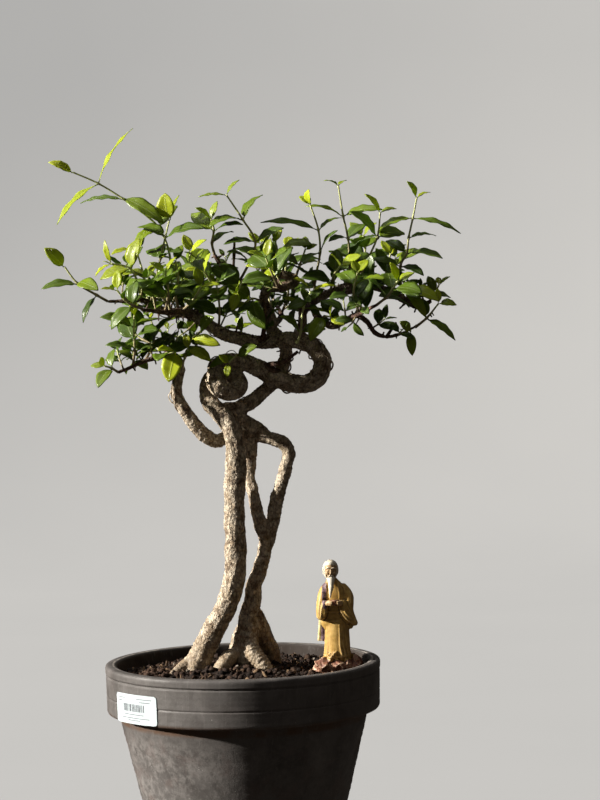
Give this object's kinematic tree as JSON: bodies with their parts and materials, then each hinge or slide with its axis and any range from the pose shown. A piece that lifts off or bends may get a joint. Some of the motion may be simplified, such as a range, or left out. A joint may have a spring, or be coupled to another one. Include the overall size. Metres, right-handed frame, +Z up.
{
  "type": "barbados cherry bonsai in a clay pot",
  "caption": "Bonsai tree with coiled, twisted stems and leafy shoots, planted in a dark clay pot with a thick rim band; a small clay figure of an old man stands on the soil.",
  "frame": {"origin": "middle of the pot's underside, on the surface that the pot stands on", "axes": "+Z up along the pot's axis; -Y is the side that the tree is looked at from; +X is to that viewer's right"},
  "size_m": [0.3783, 0.2669, 0.7093],
  "materials": {
    "clay_pot": "matte unglazed clay, dark basalt grey-brown, mottled with faint lime bloom",
    "soil": null,
    "bark": "rough flaking grey-brown bark",
    "foliage": null,
    "young_foliage": null,
    "painted_clay": "hand-painted ochre glaze with bare red-brown clay base",
    "label": "plain coated white paper"
  },
  "bodies": {
    "root": {"figurine": "painted_clay", "label": "label", "pot": "clay_pot", "shoot_back_01": "foliage", "shoot_back_02": "foliage", "shoot_back_03": "foliage", "shoot_back_04": "foliage", "shoot_back_05": "foliage", "shoot_back_06": "foliage", "shoot_back_07": "foliage", "shoot_back_08": "foliage", "shoot_back_09": "foliage", "shoot_front_01": "foliage", "shoot_front_02": "foliage", "shoot_front_03": "foliage", "shoot_front_04": "foliage", "shoot_front_05": "foliage", "shoot_front_06": "foliage", "shoot_left_01": "foliage", "shoot_left_02": "foliage", "shoot_left_03": "young_foliage", "shoot_left_04": "young_foliage", "shoot_left_05": "foliage", "shoot_left_06": "foliage", "shoot_left_07": "foliage", "shoot_left_08": "foliage", "shoot_left_09": "foliage", "shoot_left_10": "foliage", "shoot_left_11": "foliage", "shoot_left_12": "foliage", "shoot_left_13": "foliage", "shoot_left_14": "young_foliage", "shoot_left_15": "foliage", "shoot_left_16": "foliage", "shoot_middle_01": "foliage", "shoot_middle_02": "foliage", "shoot_middle_03": "foliage", "shoot_middle_04": "young_foliage", "shoot_middle_05": "foliage", "shoot_middle_06": "foliage", "shoot_middle_07": "foliage", "shoot_middle_08": "young_foliage", "shoot_middle_09": "foliage", "shoot_middle_10": "foliage", "shoot_right_01": "foliage", "shoot_right_02": "foliage", "shoot_right_03": "foliage", "shoot_right_04": "foliage", "shoot_right_05": "foliage", "shoot_right_06": "foliage", "shoot_right_07": "foliage", "shoot_right_08": "foliage", "shoot_right_09": "foliage", "shoot_right_10": "foliage", "shoot_right_11": "foliage", "soil": "soil", "stems_and_boughs": "bark"}
  },
  "joints": []
}
